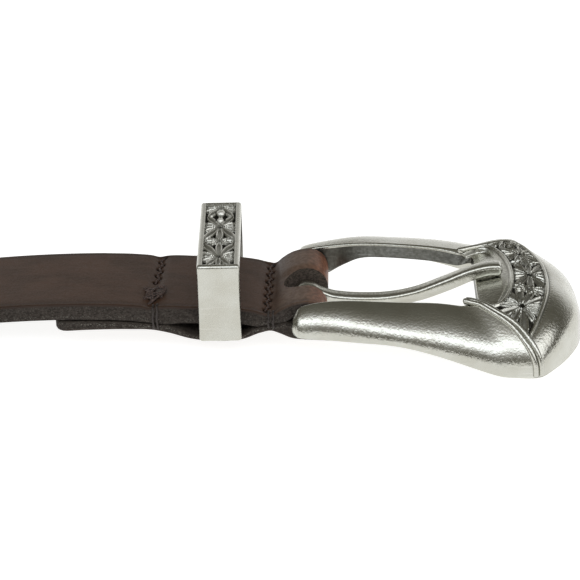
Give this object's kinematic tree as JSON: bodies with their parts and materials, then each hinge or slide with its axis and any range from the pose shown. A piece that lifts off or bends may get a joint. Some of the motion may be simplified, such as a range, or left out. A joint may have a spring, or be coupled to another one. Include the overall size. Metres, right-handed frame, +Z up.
{
  "type": "western belt",
  "caption": "Straight leather belt with a pointed punched end, a hinged cast western buckle with a prong and floral relief, and a matching metal keeper loop over the buckle fold.",
  "frame": {"origin": "on the surface under the middle of the belt's length and width", "axes": "+X along the strap towards the buckle's tip, +Y across the strap, +Z up, out of the belt's face"},
  "size_m": [0.9478, 0.0494, 0.0243],
  "materials": {
    "strap": "waxed, worn, with burnished edges",
    "keeper": "satin antique silver",
    "buckle_frame": "satin antique silver",
    "prong": "satin silver"
  },
  "bodies": {
    "belt": {"strap": "strap", "keeper": "keeper"},
    "buckle": {"buckle_frame": "buckle_frame"},
    "prong": {"prong": "prong"}
  },
  "joints": [
    {"name": "buckle_hinge", "type": "hinge", "parent": "belt", "child": "buckle", "pos_m": [0.4111, 0, 0.0083], "axis": [0, -1, 0], "range_deg": [-45, 35]},
    {"name": "prong_hinge", "type": "hinge", "parent": "buckle", "child": "prong", "pos_m": [0.4111, 0, 0.0083], "axis": [0, -1, 0], "range_deg": [0, 75]}
  ]
}
